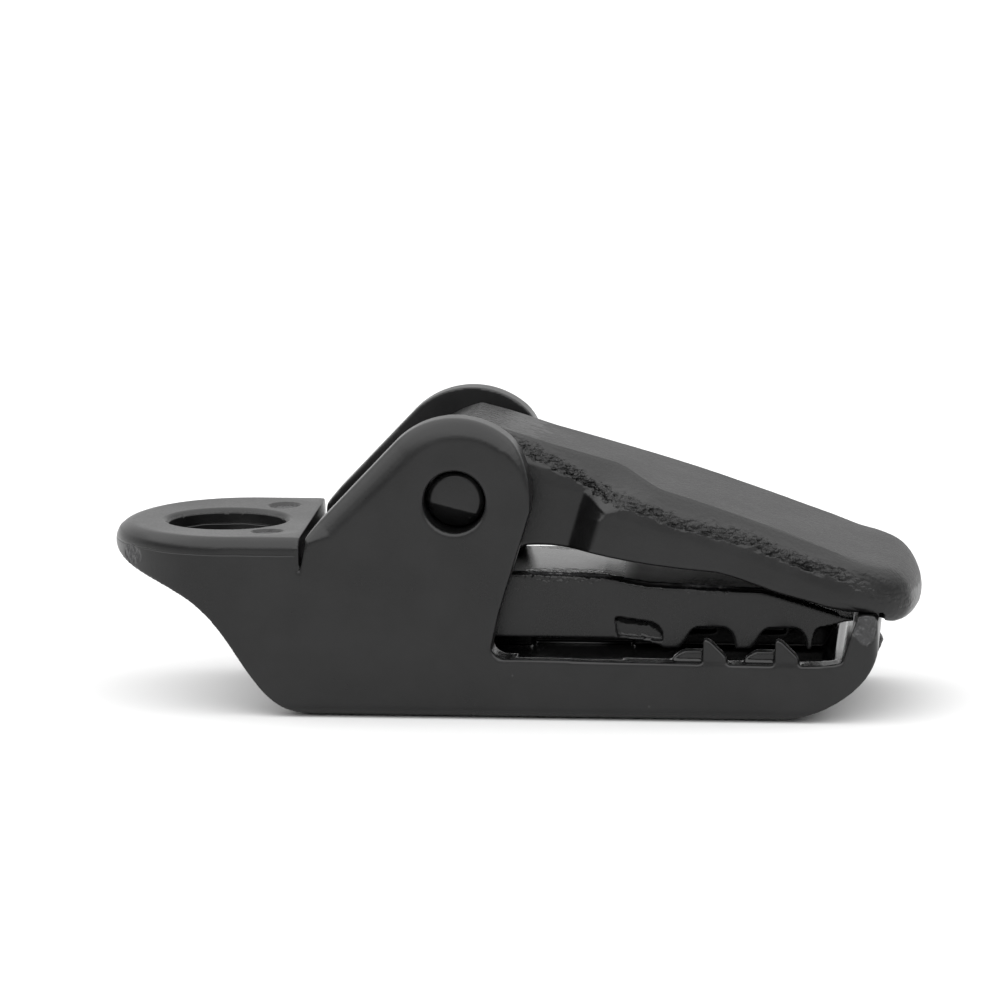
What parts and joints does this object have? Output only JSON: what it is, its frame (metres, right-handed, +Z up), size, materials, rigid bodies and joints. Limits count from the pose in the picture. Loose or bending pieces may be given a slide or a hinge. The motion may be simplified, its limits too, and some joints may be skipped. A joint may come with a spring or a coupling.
{
  "type": "tarp clip",
  "caption": "Small plastic tarp clip: a base with a tail ring and cheeks, a toothed jaw, and a snap-in cam lever that presses the jaw shut on the sheet.",
  "frame": {"origin": "centre of the footprint on the floor under the closed clip", "axes": "+X from the tail ring to the jaw tip, +Y across the cheeks, +Z up from the flat underside"},
  "size_m": [0.032, 0.01, 0.0118],
  "materials": {
    "body": "satin, moulded",
    "jaw": "satin, moulded",
    "lever": "grained top, satin sides"
  },
  "bodies": {
    "base": {"base": "body"},
    "jaw": {"upper_jaw": "jaw"},
    "lever": {"lever": "lever"}
  },
  "joints": [
    {"name": "lever_hinge", "type": "hinge", "parent": "base", "child": "lever", "pos_m": [-0.0021, 0, 0.0086], "axis": [0, -1, 0], "range_deg": [0, 110]},
    {"name": "jaw_hinge", "type": "hinge", "parent": "base", "child": "jaw", "pos_m": [-0.0064, 0, 0.0041], "axis": [0, -1, 0], "range_deg": [0, 8.8]}
  ],
  "couplings": [
    {"joint": "jaw_hinge", "follows": "lever_hinge", "ratio": 0.08}
  ]
}
